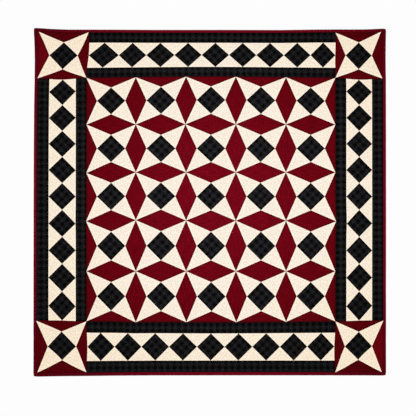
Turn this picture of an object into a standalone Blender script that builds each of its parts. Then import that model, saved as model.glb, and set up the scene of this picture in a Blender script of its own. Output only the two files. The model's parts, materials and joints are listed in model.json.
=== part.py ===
"""A pieced and quilted wall hanging: one quilted panel and the four strips of its binding.

The panel is a sandwich of pieced top, batting and backing, stitched through in the seams. Its solid is thin
along every seam and crowned inside every patch, on the front and, lower, on the back. The pattern is a field
of five by five star blocks whose side pieces are whole diamonds, a border of squares on point between two
plain strips on each side, and one more star block in each corner. Each binding strip is folded over the
panel's raw edge and mitred at its ends.

Metres, +Z up. The front faces -Y, with +X to its right. The origin is the middle of the bound top edge.
"""

from collections import namedtuple
from math import cos, pi

import bmesh
import bpy

COLLECTION = "quilted_wall_hanging"

# Finished strips of each border, from the binding inwards: outer strip, squares on point, inner strip
BORDER_STRIPS = {
    "left": (0.0370, 0.0826, 0.0326),
    "right": (0.0343, 0.0785, 0.0334),
    "top": (0.0319, 0.0761, 0.0308),
    "bottom": (0.0359, 0.0853, 0.0349),
}

# Finished sizes of the field's star blocks, left to right and top to bottom
FIELD_COLUMNS = (0.1507, 0.1537, 0.1519, 0.1533, 0.1506)
FIELD_ROWS = (0.1423, 0.1459, 0.1478, 0.1543, 0.1524)

# Lengths that the nine squares on point take along each border, left to right or top to bottom
SQUARE_PITCHES = {
    "left": (0.0809, 0.0799, 0.0792, 0.0798, 0.0815, 0.0818, 0.0825, 0.0851, 0.0890),
    "right": (0.0809, 0.0799, 0.0792, 0.0798, 0.0815, 0.0818, 0.0825, 0.0851, 0.0890),
    "top": (0.0952, 0.0874, 0.0859, 0.0830, 0.0835, 0.0831, 0.0839, 0.0812, 0.0759),
    "bottom": (0.0839, 0.0832, 0.0838, 0.0842, 0.0839, 0.0844, 0.0842, 0.0834, 0.0850),
}

# Star block: from its centre to a corner of its dark square, as shares of the block's width and height
Reach = namedtuple("Reach", "x z")
FIELD_REACH = Reach(0.2865, 0.2840)
CORNER_REACH = Reach(0.2745, 0.2815)

# Finished width of the binding on each side
BINDING_WIDTHS = {"left": 0.0085, "right": 0.0084, "top": 0.0080, "bottom": 0.0096}

# How far each edge hangs outside its straight line, at shares of the way right or down
Sway = namedtuple("Sway", "along left right top bottom")
EDGE_SWAY = (
    Sway(0.00, 0.0007, 0.0003, 0.0065, 0.0035),
    Sway(0.04, -0.0012, -0.0002, 0.0037, 0.0030),
    Sway(0.09, -0.0027, -0.0006, 0.0015, 0.0024),
    Sway(0.14, -0.0024, -0.0001, 0.0010, 0.0018),
    Sway(0.22, -0.0008, 0.0002, 0.0009, 0.0009),
    Sway(0.34, 0.0000, 0.0003, 0.0002, 0.0000),
    Sway(0.55, 0.0006, 0.0003, 0.0002, 0.0000),
    Sway(0.70, 0.0010, 0.0003, -0.0003, 0.0000),
    Sway(0.80, 0.0010, 0.0003, 0.0012, 0.0000),
    Sway(0.94, 0.0010, 0.0003, 0.0020, 0.0000),
    Sway(1.00, 0.0010, 0.0000, 0.0044, 0.0002),
)
SWAY_REACH = 0.150

# Small pulls of the piecing within the plane: where their middle is, right of the hanging's middle and
# below its top, half their width and height, and how far their middle goes right and up
Pull = namedtuple("Pull", "place x down wide high right up")
PULLS = (
    Pull("left end of the top border", -0.372, 0.042, 0.200, 0.110, 0.0088, 0.0),
    Pull("right end of the top border", 0.383, 0.043, 0.100, 0.060, 0.0010, 0.0),
    Pull("left end of the bottom border", -0.360, 0.970, 0.150, 0.090, 0.0028, 0.0),
    Pull("right end of the bottom border", 0.375, 0.985, 0.120, 0.090, -0.0028, 0.0),
    Pull("top left block", -0.452, 0.077, 0.110, 0.110, 0.0014, -0.0018),
    Pull("top right block", 0.455, 0.077, 0.110, 0.110, -0.0024, -0.0017),
    Pull("bottom left block", -0.452, 0.968, 0.110, 0.110, 0.0011, 0.0020),
    Pull("bottom right block", 0.455, 0.968, 0.110, 0.110, -0.0027, 0.0008),
    Pull("lower seam of the top left block", -0.449, 0.146, 0.080, 0.060, 0.0, -0.0030),
    Pull("lower seam of the top right block", 0.455, 0.146, 0.080, 0.060, 0.0, -0.0030),
    Pull("lower half of the bottom left block", -0.452, 1.001, 0.070, 0.055, 0.0016, 0.0038),
    Pull("lower half of the bottom right block", 0.455, 1.001, 0.070, 0.055, -0.0016, 0.0038),
    Pull("upper end of the left border", -0.490, 0.170, 0.120, 0.200, 0.0, -0.0022),
    Pull("upper end of the right border", 0.495, 0.170, 0.120, 0.200, 0.0, -0.0024),
    Pull("lower end of the left border", -0.490, 0.860, 0.120, 0.200, 0.0, 0.0024),
    Pull("lower end of the right border", 0.495, 0.860, 0.120, 0.200, 0.0, 0.0026),
    Pull("top row of the field", 0.000, 0.180, 0.500, 0.160, 0.0, 0.0046),
    Pull("lowest seam of the field", 0.020, 0.889, 0.500, 0.110, 0.0, -0.0033),
    Pull("lower middle of the field", 0.040, 0.870, 0.250, 0.170, 0.0015, 0.0),
    Pull("left of the field's middle", -0.180, 0.560, 0.180, 0.160, 0.0, 0.0022),
    Pull("right of the field's middle", 0.170, 0.430, 0.100, 0.160, -0.0016, 0.0),
    Pull("second crossing of the field's first seam", -0.073, 0.289, 0.072, 0.072, -0.0019, -0.0002),
    Pull("left end of the field's second seam", -0.377, 0.435, 0.072, 0.072, -0.0002, -0.0019),
    Pull("left end of the field's third seam", -0.377, 0.583, 0.072, 0.072, -0.0010, -0.0014),
    Pull("right end of the field's third seam", 0.383, 0.583, 0.072, 0.072, 0.0023, -0.0015),
    Pull("first crossing of the field's lower edge", -0.226, 0.889, 0.072, 0.072, 0.0000, -0.0017),
)

# Soft swells of the hung cloth away from the wall: where their middle is, half their width and height,
# and how far their middle stands forward
Swell = namedtuple("Swell", "place x down wide high forward")
SWELLS = (
    Swell("bottom left corner", -0.530, 1.050, 0.300, 0.260, 0.0042),
    Swell("bottom right corner", 0.540, 1.060, 0.240, 0.300, 0.0034),
    Swell("hem left of the middle", -0.140, 1.040, 0.220, 0.340, 0.0021),
    Swell("left side", -0.540, 0.460, 0.200, 0.300, 0.0019),
    Swell("right side", 0.550, 0.580, 0.180, 0.270, 0.0023),
    Swell("middle of the field", 0.060, 0.520, 0.420, 0.360, 0.0016),
    Swell("top left corner", -0.540, 0.010, 0.130, 0.140, 0.0022),
)

# Sandwich: half its thickness in a seam, how far in from the seam each patch has its shoulder, how high
# the shoulder and then the crown rise, and the most corners of a patch that has a crown
SEAM_HALF = 0.0009
FRONT_SHOULDER_IN = 0.0065
FRONT_SHOULDER_RISE = 0.0011
FRONT_CROWN_RISE = 0.0006
BACK_SHOULDER_IN = 0.0070
BACK_SHOULDER_RISE = 0.0008
CROWNED_CORNERS = 12

# Binding: its folded cloth, its clearance to the panel, how much its outer corners are rounded off and
# from which share of its width on, and how far each mitre stands back
BINDING_CLOTH = 0.0008
CLEARANCE = 0.0003
CORNER_EASE = 0.0016
EASE_FROM = 0.5
MITRE_BACK = 0.00025

# Binding across its run: how thick it stands at shares of its width, as shares of its half thickness
Fold = namedtuple("Fold", "outward thick")
BINDING_FOLDS = (Fold(0.30, 1.08), Fold(0.75, 1.04), Fold(1.00, 0.45))

# Where the binding has sections along a corner block, as shares of the block
EDGE_STATIONS = (0.04, 0.33, 0.67)

# Points nearer than this are one point
WELD = 0.00002

# Faces that meet more steeply than this are shaded with an edge between them
SHARP_ANGLE = pi / 5

# Base colours, linear, and roughness
PATCHWORK_COLOUR, PATCHWORK_ROUGHNESS = (0.42, 0.20, 0.16), 0.9
BINDING_COLOUR, BINDING_ROUGHNESS = (0.16, 0.004, 0.012), 0.85


def running(start, sizes):
    """The place of each line that a run of sizes draws, from a start."""
    places = [start]
    for size in sizes:
        places.append(places[-1] + size)
    return places


COLUMN_WIDTHS = (sum(BORDER_STRIPS["left"]), *FIELD_COLUMNS, sum(BORDER_STRIPS["right"]))
ROW_HEIGHTS = (sum(BORDER_STRIPS["top"]), *FIELD_ROWS, sum(BORDER_STRIPS["bottom"]))
WHOLE_WIDTH = sum(COLUMN_WIDTHS) + BINDING_WIDTHS["left"] + BINDING_WIDTHS["right"]
WHOLE_HEIGHT = sum(ROW_HEIGHTS) + BINDING_WIDTHS["top"] + BINDING_WIDTHS["bottom"]
COLUMN_LINES = running(BINDING_WIDTHS["left"] - WHOLE_WIDTH / 2, COLUMN_WIDTHS)
ROW_LINES = [-down for down in running(BINDING_WIDTHS["top"], ROW_HEIGHTS)]
LEFT, RIGHT = COLUMN_LINES[0], COLUMN_LINES[-1]
TOP, BOTTOM = ROW_LINES[0], ROW_LINES[-1]


def eased(share):
    """A share of 0 to 1 with a soft start and end."""
    share = min(max(share, 0.0), 1.0)
    return share * share * (3 - 2 * share)


def edge_sway(side, along):
    """How far one edge hangs outside its straight line, at a share of the way along it."""
    along = min(max(along, 0.0), 1.0)
    for before, after in zip(EDGE_SWAY, EDGE_SWAY[1:]):
        if along <= after.along:
            part = (along - before.along) / (after.along - before.along)
            return getattr(before, side) * (1 - part) + getattr(after, side) * part


def nearness_to(place, x, z):
    """How much of a swell or pull a point takes: 1 at its middle, softly down to 0 at its rim."""
    off = ((x - place.x) / place.wide) ** 2 + ((z + place.down) / place.high) ** 2
    return (1 + cos(pi * off**0.5)) / 2 if off < 1 else 0.0


def hung(x, y, z):
    """Where a point of the flat hanging is once it hangs."""
    across = x / WHOLE_WIDTH + 0.5
    down = -z / WHOLE_HEIGHT
    nearness = {
        "left": eased(1 - (x - LEFT) / SWAY_REACH),
        "right": eased(1 - (RIGHT - x) / SWAY_REACH),
        "top": eased(1 - (TOP - z) / SWAY_REACH),
        "bottom": eased(1 - (z - BOTTOM) / SWAY_REACH),
    }
    outward = {side: nearness[side] * edge_sway(side, down) for side in ("left", "right")}
    outward |= {side: nearness[side] * edge_sway(side, across) for side in ("top", "bottom")}
    forward = sum(swell.forward * nearness_to(swell, x, z) for swell in SWELLS)
    pulled_right = sum(pull.right * nearness_to(pull, x, z) for pull in PULLS)
    pulled_up = sum(pull.up * nearness_to(pull, x, z) for pull in PULLS)
    return (
        x + outward["right"] - outward["left"] + pulled_right,
        y - forward,
        z + outward["top"] - outward["bottom"] + pulled_up,
    )


def block_points(column, row):
    """Corners of one block from its top left, and corners of its dark square from the top one, clockwise."""
    left, right = COLUMN_LINES[column : column + 2]
    top, bottom = ROW_LINES[row : row + 2]
    x, z = (left + right) / 2, (top + bottom) / 2
    reach = CORNER_REACH if column in (0, len(COLUMN_WIDTHS) - 1) else FIELD_REACH
    reach_x, reach_z = reach.x * (right - left), reach.z * (top - bottom)
    corners = ((left, top), (right, top), (right, bottom), (left, bottom))
    tips = ((x, z + reach_z), (x + reach_x, z), (x, z - reach_z), (x - reach_x, z))
    return corners, tips


def star_block(column, row, blocks):
    """One star block's dark square, its four star points, and the side pieces that are its own to make.

    A side piece that two blocks share is one diamond, made by the block above it or left of it. On the side
    of a block that has no neighbour it is half of that, a triangle.
    """
    corners, tips = block_points(column, row)
    patches = [tips]
    for side, (right, down) in enumerate(((0, -1), (1, 0), (0, 1), (-1, 0))):
        start, end = corners[side], corners[(side + 1) % 4]
        patches.append((start, tips[side], tips[side - 1]))
        if (column + right, row + down) not in blocks:
            patches.append((start, end, tips[side]))
        elif right + down > 0:
            far_tip = block_points(column + right, row + down)[1][(side + 2) % 4]
            patches.append((start, far_tip, end, tips[side]))
    return patches


def border(side):
    """The patches of one border: two plain strips, nine squares on point and their setting triangles."""
    lengthwise = ROW_LINES if side in ("left", "right") else COLUMN_LINES
    start, end = lengthwise[1], lengthwise[-2]
    edge, inward = {"left": (LEFT, 1), "right": (RIGHT, -1), "top": (TOP, -1), "bottom": (BOTTOM, 1)}[side]
    outer, upper, lower, inner = [edge + inward * run for run in running(0, BORDER_STRIPS[side])]
    middle = (upper + lower) / 2

    def place(along, across):
        return (across, along) if side in ("left", "right") else (along, across)

    def rectangle(first, last):
        return (place(start, first), place(end, first), place(end, last), place(start, last))

    pitches = SQUARE_PITCHES[side]
    joins = [start + (end - start) * run / sum(pitches) for run in running(0, pitches)]
    tips = [(before + after) / 2 for before, after in zip(joins, joins[1:])]
    patches = [rectangle(outer, upper), rectangle(lower, inner)]
    for before, tip, after in zip(joins, tips, joins[1:]):
        patches.append((place(before, middle), place(tip, upper), place(after, middle), place(tip, lower)))
    for strip_edge in (upper, lower):
        for before, join, after in zip(tips, joins[1:], tips[1:]):
            patches.append((place(before, strip_edge), place(join, middle), place(after, strip_edge)))
        for join, tip in ((joins[0], tips[0]), (joins[-1], tips[-1])):
            patches.append((place(join, strip_edge), place(join, middle), place(tip, strip_edge)))
    return patches


def all_patches():
    """Every patch of the pieced top, as its corners in the flat."""
    patches = []
    last = len(COLUMN_WIDTHS) - 1
    places = [(column, row) for column in range(last + 1) for row in range(last + 1)]
    blocks = [(column, row) for column, row in places if (column in (0, last)) == (row in (0, last))]
    for column, row in blocks:
        patches += star_block(column, row, blocks)
    for side in BORDER_STRIPS:
        patches += border(side)
    return patches


def stations(lines):
    """Where the panel's edge and the binding on it both have points, along one side of the pattern."""
    first, last = lines[1] - lines[0], lines[-1] - lines[-2]
    near_start = [lines[0] + first * share for share in EDGE_STATIONS]
    near_end = [lines[-1] - last * share for share in reversed(EDGE_STATIONS)]
    return [lines[0], *near_start, *lines[1:-1], *near_end, lines[-1]]


def edge_allowances():
    """The flat strips of the panel that go into the binding, as corners in the flat."""
    spared = BINDING_CLOTH + CLEARANCE + CORNER_EASE
    reach = {side: width - spared for side, width in BINDING_WIDTHS.items()}
    xs = [LEFT - reach["left"], *stations(COLUMN_LINES), RIGHT + reach["right"]]
    zs = [TOP + reach["top"], *stations(ROW_LINES), BOTTOM - reach["bottom"]]
    last_column, last_row = len(xs) - 2, len(zs) - 2
    strips = []
    for column in range(last_column + 1):
        for row in range(last_row + 1):
            if column in (0, last_column) or row in (0, last_row):
                left, right = xs[column : column + 2]
                top, bottom = zs[row : row + 2]
                strips.append(((left, top), (right, top), (right, bottom), (left, bottom)))
    return strips


def with_points_on_sides(outline, points):
    """An outline with every one of the points that lies on its sides added to it, in order."""
    full = []
    for (x0, z0), (x1, z1) in zip(outline, (*outline[1:], outline[0])):
        run_x, run_z = x1 - x0, z1 - z0
        length = (run_x**2 + run_z**2) ** 0.5
        on_side = []
        for x, z in points:
            along = ((x - x0) * run_x + (z - z0) * run_z) / length
            aside = ((x - x0) * run_z - (z - z0) * run_x) / length
            if WELD < along < length - WELD and abs(aside) < WELD:
                on_side.append((along, (x, z)))
        full += [(x0, z0), *(point for _, point in sorted(on_side))]
    return full


def facing_front(outline):
    """The outline in the order that makes its face look along -Y."""
    area = sum(x0 * z1 - x1 * z0 for (x0, z0), (x1, z1) in zip(outline, (*outline[1:], outline[0])))
    return outline if area > 0 else outline[::-1]


def add_part(name, mesh_builder, colour, roughness):
    """One named object with its own material, from a bmesh."""
    mesh = bpy.data.meshes.new(name)
    mesh_builder.to_mesh(mesh)
    mesh_builder.free()
    mesh.shade_smooth()
    mesh.set_sharp_from_angle(angle=SHARP_ANGLE)
    part = bpy.data.objects.new(name, mesh)
    material = bpy.data.materials.new(name + "_cloth")
    material.use_nodes = True
    surface = material.node_tree.nodes["Principled BSDF"]
    surface.inputs["Base Color"].default_value = (*colour, 1)
    surface.inputs["Roughness"].default_value = roughness
    surface.inputs["Metallic"].default_value = 0
    mesh.materials.append(material)
    return part


def hang(mesh_builder):
    """Moves every point of a flat mesh to where it hangs."""
    for vert in mesh_builder.verts:
        vert.co = hung(*vert.co)


def quilted_panel():
    """The stitched sandwich: flat patches given thickness, then each one raised inside its seams."""
    patches, allowances = all_patches(), edge_allowances()
    points = {(round(x, 6), round(z, 6)) for outline in patches + allowances for x, z in outline}
    panel = bmesh.new()
    for outline in patches + allowances:
        corners = facing_front(with_points_on_sides(outline, points))
        panel.faces.new([panel.verts.new((x, -SEAM_HALF, z)) for x, z in corners])
    bmesh.ops.remove_doubles(panel, verts=panel.verts, dist=WELD)
    bmesh.ops.solidify(panel, geom=panel.faces[:], thickness=2 * SEAM_HALF)
    panel.normal_update()

    def quilted(facing):
        """The patches of one side, without the edge that goes into the binding."""
        faces = []
        for face in panel.faces:
            middle = face.calc_center_median()
            inside = LEFT < middle.x < RIGHT and BOTTOM < middle.z < TOP
            if inside and face.normal.y * facing > 0.5:
                faces.append(face)
        return faces

    front, back = quilted(-1), quilted(1)
    bmesh.ops.inset_individual(
        panel,
        faces=front,
        thickness=FRONT_SHOULDER_IN,
        depth=FRONT_SHOULDER_RISE,
        use_even_offset=True,
    )
    bmesh.ops.inset_individual(
        panel,
        faces=back,
        thickness=BACK_SHOULDER_IN,
        depth=BACK_SHOULDER_RISE,
        use_even_offset=True,
    )
    crowned = [face for face in front if len(face.verts) < CROWNED_CORNERS]
    bmesh.ops.poke(panel, faces=crowned, offset=FRONT_CROWN_RISE)
    bmesh.ops.triangulate(panel, faces=panel.faces[:])
    hang(panel)
    return add_part("quilted_panel", panel, PATCHWORK_COLOUR, PATCHWORK_ROUGHNESS)


def binding_section(width):
    """The folded strip across its run: outward from the panel, and front to back, as a closed outline."""
    slot = SEAM_HALF + CLEARANCE
    face = slot + BINDING_CLOTH
    front = [(CLEARANCE, -face)]
    front += [(fold.outward * width, -fold.thick * face) for fold in BINDING_FOLDS]
    slot_back = ((CLEARANCE, slot), (width - BINDING_CLOTH, slot))
    back = [(outward, -depth) for outward, depth in reversed(front)]
    slot_front = [(outward, -depth) for outward, depth in reversed(slot_back)]
    return [*front, *back, *slot_back, *slot_front]


def binding_strip(side):
    """One strip of binding, its section drawn along the side and mitred at both ends."""
    upright = side in ("left", "right")
    lines = ROW_LINES if upright else COLUMN_LINES
    before, after = ("top", "bottom") if upright else ("left", "right")
    edge = {"left": LEFT, "right": RIGHT, "top": TOP, "bottom": BOTTOM}[side]
    outward_sign = 1 if side in ("right", "top") else -1
    run_sign = -1 if upright else 1
    width = BINDING_WIDTHS[side]
    section = binding_section(width)
    places = stations(lines)
    ends = {0: (before, -run_sign), len(places) - 1: (after, run_sign)}

    def point(index, outward, depth):
        along = places[index]
        if index in ends:
            neighbour, beyond = ends[index]
            outward -= CORNER_EASE * max(0.0, outward / width - EASE_FROM)
            along += beyond * (outward / width * BINDING_WIDTHS[neighbour] - MITRE_BACK)
        across = edge + outward_sign * outward
        return (across, depth, along) if upright else (along, depth, across)

    strip = bmesh.new()
    loop = [strip.verts.new(point(0, *corner)) for corner in section]
    edges = [strip.edges.new((loop[k - 1], loop[k])) for k in range(len(loop))]
    bmesh.ops.edgeloop_fill(strip, edges=edges)
    for index in range(1, len(places)):
        made = bmesh.ops.extrude_edge_only(strip, edges=edges)["geom"]
        edges = [item for item in made if isinstance(item, bmesh.types.BMEdge)]
        next_of = {}
        for vert in (item for item in made if isinstance(item, bmesh.types.BMVert)):
            drawn_from = (edge.other_vert(vert) for edge in vert.link_edges)
            next_of[next(other for other in drawn_from if other in loop)] = vert
        loop = [next_of[vert] for vert in loop]
        for vert, corner in zip(loop, section):
            vert.co = point(index, *corner)
    bmesh.ops.edgeloop_fill(strip, edges=edges)
    bmesh.ops.recalc_face_normals(strip, faces=strip.faces)
    bmesh.ops.triangulate(strip, faces=strip.faces[:])
    hang(strip)
    return add_part("binding_" + side, strip, BINDING_COLOUR, BINDING_ROUGHNESS)


def main():
    for old in list(bpy.data.objects):
        bpy.data.objects.remove(old)
    hanging = bpy.data.collections.new(COLLECTION)
    bpy.context.scene.collection.children.link(hanging)
    hanging.objects.link(quilted_panel())
    for side in BINDING_WIDTHS:
        hanging.objects.link(binding_strip(side))


main()
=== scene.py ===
"""The looks of a pieced and quilted wall hanging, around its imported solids.

The hanging is a sandwich of pieced cotton top, batting and muslin backing, quilted in the ditch of every
seam and bound in dark red cotton. Its patches are drawn flat, seam to seam, then padded and hung. The file
is laid out as a Blender add-on: sizes and colours are properties, each group of like pieces has an operator,
and a panel in the sidebar of the 3D view lists them.

Metres, +Z up. The front faces -Y, with +X to its right. The origin is the middle of the bound top edge.
"""

import json
import random
from collections import namedtuple
from math import cos, pi, radians, sin

import bmesh
import bpy
import numpy as np
from bpy.props import FloatProperty, FloatVectorProperty, PointerProperty
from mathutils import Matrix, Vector, noise

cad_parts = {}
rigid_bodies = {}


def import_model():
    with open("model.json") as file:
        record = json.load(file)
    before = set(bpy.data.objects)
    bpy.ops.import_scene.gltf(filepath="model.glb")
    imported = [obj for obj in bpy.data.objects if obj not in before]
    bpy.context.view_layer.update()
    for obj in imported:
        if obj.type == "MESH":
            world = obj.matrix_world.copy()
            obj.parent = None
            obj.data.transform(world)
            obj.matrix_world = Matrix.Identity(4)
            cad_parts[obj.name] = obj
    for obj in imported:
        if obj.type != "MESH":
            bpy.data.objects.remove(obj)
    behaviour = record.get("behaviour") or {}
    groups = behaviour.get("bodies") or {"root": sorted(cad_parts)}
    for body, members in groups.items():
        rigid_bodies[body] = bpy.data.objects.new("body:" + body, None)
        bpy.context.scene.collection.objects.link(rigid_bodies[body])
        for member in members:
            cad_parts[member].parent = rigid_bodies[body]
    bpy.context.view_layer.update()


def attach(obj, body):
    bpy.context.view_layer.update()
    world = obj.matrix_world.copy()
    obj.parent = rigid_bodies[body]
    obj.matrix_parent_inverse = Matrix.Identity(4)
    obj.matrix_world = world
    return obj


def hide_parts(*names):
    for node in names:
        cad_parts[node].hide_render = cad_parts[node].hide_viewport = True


bl_info = {
    "name": "Quilted wall hanging",
    "version": (1, 0, 0),
    "blender": (4, 5, 0),
    "location": "3D View > Sidebar > Wall hanging",
    "description": "Pieced top, quilting stitches, binding and studio for a quilted wall hanging",
    "category": "Object",
}

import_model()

# Finished strips of each border, from the binding inwards: outer strip, squares on point, inner strip
BORDER_STRIPS = {
    "left": (0.0370, 0.0826, 0.0326),
    "right": (0.0343, 0.0785, 0.0334),
    "top": (0.0319, 0.0761, 0.0308),
    "bottom": (0.0359, 0.0853, 0.0349),
}

# Side pieces of the corner stars cut from a second lot of red: the star's column and row, and which side
# from the top one clockwise
SECOND_LOT = ((0, 0, 3), (6, 6, 1))

# Finished sizes of the field's star blocks, left to right and top to bottom
FIELD_COLUMNS = (0.1507, 0.1537, 0.1519, 0.1533, 0.1506)
FIELD_ROWS = (0.1423, 0.1459, 0.1478, 0.1543, 0.1524)

# Lengths that the nine squares on point take along each border, left to right or top to bottom
SQUARE_PITCHES = {
    "left": (0.0809, 0.0799, 0.0792, 0.0798, 0.0815, 0.0818, 0.0825, 0.0851, 0.0890),
    "right": (0.0809, 0.0799, 0.0792, 0.0798, 0.0815, 0.0818, 0.0825, 0.0851, 0.0890),
    "top": (0.0952, 0.0874, 0.0859, 0.0830, 0.0835, 0.0831, 0.0839, 0.0812, 0.0759),
    "bottom": (0.0839, 0.0832, 0.0838, 0.0842, 0.0839, 0.0844, 0.0842, 0.0834, 0.0850),
}

# Star block: from its centre to a corner of its dark square, as shares of the block's width and height
Reach = namedtuple("Reach", "x z")
FIELD_REACH = Reach(0.2865, 0.2840)
CORNER_REACH = Reach(0.2745, 0.2815)

# Outer points of the corner stars that stop short of the pattern's edge: the star's column and row, which of
# its corners from the top left clockwise, and how far right of that corner and below it the point ends
PointInset = namedtuple("PointInset", "column row corner right down")
POINT_INSETS = (
    PointInset(0, 0, 0, 0.0065, 0.0029),
    PointInset(6, 0, 0, 0.0000, 0.0020),
    PointInset(6, 0, 1, -0.0068, 0.0010),
    PointInset(6, 0, 2, -0.0022, 0.0000),
    PointInset(6, 6, 2, -0.0050, -0.0012),
    PointInset(0, 6, 2, 0.0000, -0.0020),
    PointInset(0, 6, 3, 0.0037, -0.0031),
)

# How far right of each strip's middle line, or above it, a light band of its check runs: outer, inner strip
LIGHT_BANDS = {
    "left": (0.0061, 0.0061),
    "right": (0.0055, 0.0000),
    "top": (0.0000, 0.0037),
    "bottom": (0.0067, 0.0000),
}

# Finished width of the binding on each side
BINDING_WIDTHS = {"left": 0.0085, "right": 0.0084, "top": 0.0080, "bottom": 0.0096}

# How far each edge hangs outside its straight line, at shares of the way right or down
Sway = namedtuple("Sway", "along left right top bottom")
EDGE_SWAY = (
    Sway(0.00, 0.0007, 0.0003, 0.0065, 0.0035),
    Sway(0.04, -0.0012, -0.0002, 0.0037, 0.0030),
    Sway(0.09, -0.0027, -0.0006, 0.0015, 0.0024),
    Sway(0.14, -0.0024, -0.0001, 0.0010, 0.0018),
    Sway(0.22, -0.0008, 0.0002, 0.0009, 0.0009),
    Sway(0.34, 0.0000, 0.0003, 0.0002, 0.0000),
    Sway(0.55, 0.0006, 0.0003, 0.0002, 0.0000),
    Sway(0.70, 0.0010, 0.0003, -0.0003, 0.0000),
    Sway(0.80, 0.0010, 0.0003, 0.0012, 0.0000),
    Sway(0.94, 0.0010, 0.0003, 0.0020, 0.0000),
    Sway(1.00, 0.0010, 0.0000, 0.0044, 0.0002),
)
SWAY_REACH = 0.150

# Small pulls of the piecing within the plane: where their middle is, right of the hanging's middle and
# below its top, half their width and height, and how far their middle goes right and up
Pull = namedtuple("Pull", "place x down wide high right up")
PULLS = (
    Pull("left end of the top border", -0.372, 0.042, 0.200, 0.110, 0.0088, 0.0),
    Pull("right end of the top border", 0.383, 0.043, 0.100, 0.060, 0.0010, 0.0),
    Pull("left end of the bottom border", -0.360, 0.970, 0.150, 0.090, 0.0028, 0.0),
    Pull("right end of the bottom border", 0.375, 0.985, 0.120, 0.090, -0.0028, 0.0),
    Pull("top left block", -0.452, 0.077, 0.110, 0.110, 0.0014, -0.0018),
    Pull("top right block", 0.455, 0.077, 0.110, 0.110, -0.0024, -0.0017),
    Pull("bottom left block", -0.452, 0.968, 0.110, 0.110, 0.0011, 0.0020),
    Pull("bottom right block", 0.455, 0.968, 0.110, 0.110, -0.0027, 0.0008),
    Pull("lower seam of the top left block", -0.449, 0.146, 0.080, 0.060, 0.0, -0.0030),
    Pull("lower seam of the top right block", 0.455, 0.146, 0.080, 0.060, 0.0, -0.0030),
    Pull("lower half of the bottom left block", -0.452, 1.001, 0.070, 0.055, 0.0016, 0.0038),
    Pull("lower half of the bottom right block", 0.455, 1.001, 0.070, 0.055, -0.0016, 0.0038),
    Pull("upper end of the left border", -0.490, 0.170, 0.120, 0.200, 0.0, -0.0022),
    Pull("upper end of the right border", 0.495, 0.170, 0.120, 0.200, 0.0, -0.0024),
    Pull("lower end of the left border", -0.490, 0.860, 0.120, 0.200, 0.0, 0.0024),
    Pull("lower end of the right border", 0.495, 0.860, 0.120, 0.200, 0.0, 0.0026),
    Pull("top row of the field", 0.000, 0.180, 0.500, 0.160, 0.0, 0.0046),
    Pull("lowest seam of the field", 0.020, 0.889, 0.500, 0.110, 0.0, -0.0033),
    Pull("lower middle of the field", 0.040, 0.870, 0.250, 0.170, 0.0015, 0.0),
    Pull("left of the field's middle", -0.180, 0.560, 0.180, 0.160, 0.0, 0.0022),
    Pull("right of the field's middle", 0.170, 0.430, 0.100, 0.160, -0.0016, 0.0),
    Pull("second crossing of the field's first seam", -0.073, 0.289, 0.072, 0.072, -0.0019, -0.0002),
    Pull("left end of the field's second seam", -0.377, 0.435, 0.072, 0.072, -0.0002, -0.0019),
    Pull("left end of the field's third seam", -0.377, 0.583, 0.072, 0.072, -0.0010, -0.0014),
    Pull("right end of the field's third seam", 0.383, 0.583, 0.072, 0.072, 0.0023, -0.0015),
    Pull("first crossing of the field's lower edge", -0.226, 0.889, 0.072, 0.072, 0.0000, -0.0017),
)

# Soft swells of the hung cloth away from the wall: where their middle is, half their width and height,
# and how far their middle stands forward
Swell = namedtuple("Swell", "place x down wide high forward")
SWELLS = (
    Swell("bottom left corner", -0.530, 1.050, 0.300, 0.260, 0.0042),
    Swell("bottom right corner", 0.540, 1.060, 0.240, 0.300, 0.0034),
    Swell("hem left of the middle", -0.140, 1.040, 0.220, 0.340, 0.0021),
    Swell("left side", -0.540, 0.460, 0.200, 0.300, 0.0019),
    Swell("right side", 0.550, 0.580, 0.180, 0.270, 0.0023),
    Swell("middle of the field", 0.060, 0.520, 0.420, 0.360, 0.0016),
    Swell("top left corner", -0.540, 0.010, 0.130, 0.140, 0.0022),
)

# Sandwich mesh: half its thickness in a seam, the rings of points inside each patch as shares of the way
# from its seams to its core, and how much of the front's padding shows on the back
SEAM_HALF = 0.0009
FRONT_RINGS = (0.06, 0.18, 0.40, 0.70)
BACK_RINGS = (0.12, 0.42)
BACK_SHARE = 0.8

# Uneven padding inside a patch: the size of its humps, how far from a seam it starts and how deep it is
HUMP_SIZE = 0.034
HUMP_START = 0.008
HUMP_DEPTH = 0.00022

# How many repeats of the check the cloth is long and wide that each patch is cut from
CUT_REPEATS = 40

# Quilting stitches: the seed of their uneven sewing, how far they stand out, as a share of their thread, how
# far they stray along the seam, and how much of their length they have
STITCH_SEED = 7
STITCH_OUT = 0.3
STITCH_STRAY = 0.0002
STITCH_SHARES = (0.92, 1.06)

# Binding: cloth, clearance to the sandwich, half its whole thickness, how far its sewn edge reaches over the
# pattern, the gap in a mitre and how much of its width its fold takes
BINDING_CLOTH = 0.0008
CLEARANCE = 0.0003
BINDING_HALF = SEAM_HALF + CLEARANCE + BINDING_CLOTH
SEWN_OVER = 0.0004
MITRE_GAP = 0.0001
FOLD_SHARE = 0.30

# How uneven the binding is in width and thickness, and how quickly each changes along it, by the metre. The
# thickness also differs from one side of the hanging to the other, and across the fold
FOLD_UNEVEN = 0.00018
FOLD_WAVES = 90
LIFT_UNEVEN = 0.05
LIFT_WAVES = (60, 3, 2)

# Rounding of the hanging's corners, how much of it the mitre stands back by, and the share of the binding's
# width, next to the pattern, that the rounding leaves as it is
CORNER_RADIUS = 0.0045
MITRE_RETREAT = 0.29
KEPT_SHARE = 0.4

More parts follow.
